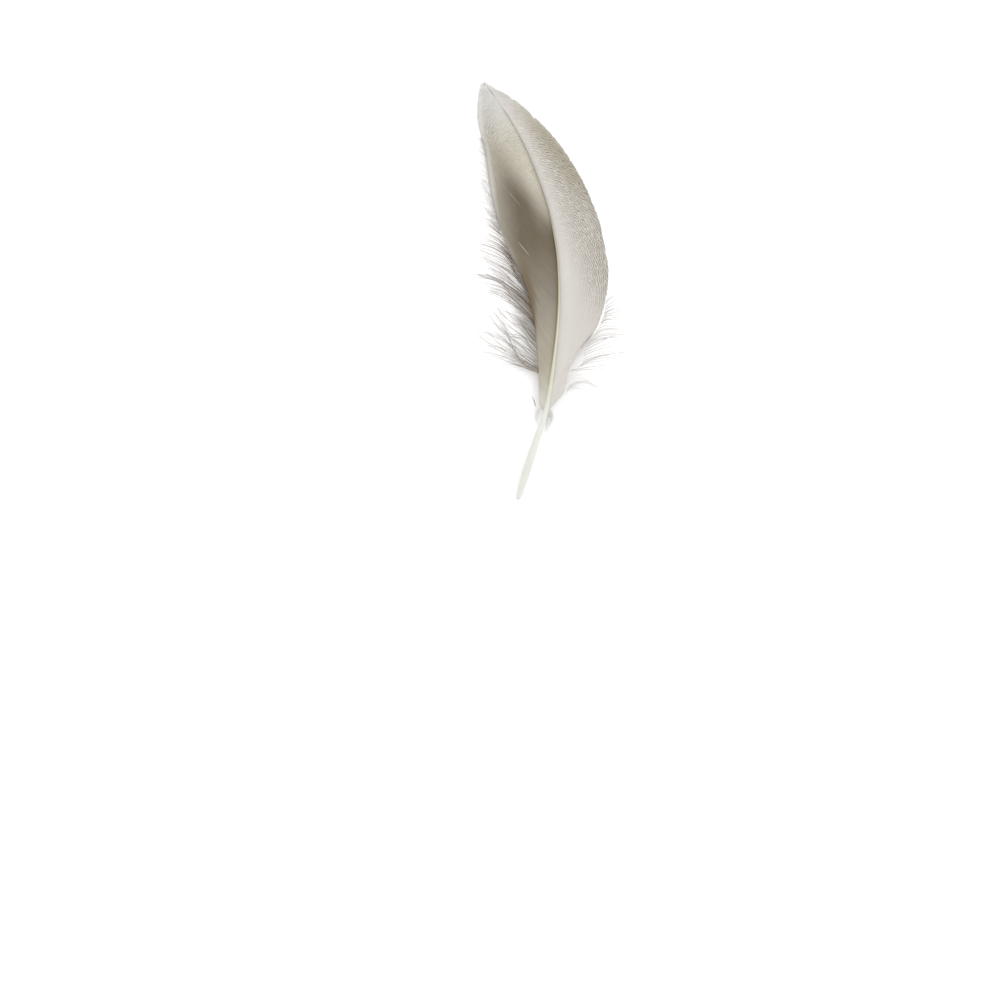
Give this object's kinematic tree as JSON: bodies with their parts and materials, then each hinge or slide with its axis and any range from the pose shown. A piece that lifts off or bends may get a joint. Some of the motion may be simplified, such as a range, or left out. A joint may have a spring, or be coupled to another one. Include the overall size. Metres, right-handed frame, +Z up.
{
  "type": "duck feather",
  "caption": "Single flank feather lying convex side up: bare quill, curved tapering shaft, a broad and a narrow vane, loose barbs and down.",
  "frame": {"origin": "on the surface that the feather lies on, under the middle of its box", "axes": "+Y from the quill's end to the feather's tip, +X towards the broad vane, +Z up from the surface, out of the convex side"},
  "size_m": [0.0334, 0.0797, 0.0038],
  "materials": {
    "vane": "matte barbs with fine brown vermiculation over silver grey, dark brown in the narrow vane",
    "shaft": "smooth horn, amber in the vane and clear pale cream at the quill",
    "down": "soft pale grey loose barbs"
  },
  "bodies": {
    "root": {"feather": "vane"}
  },
  "joints": []
}
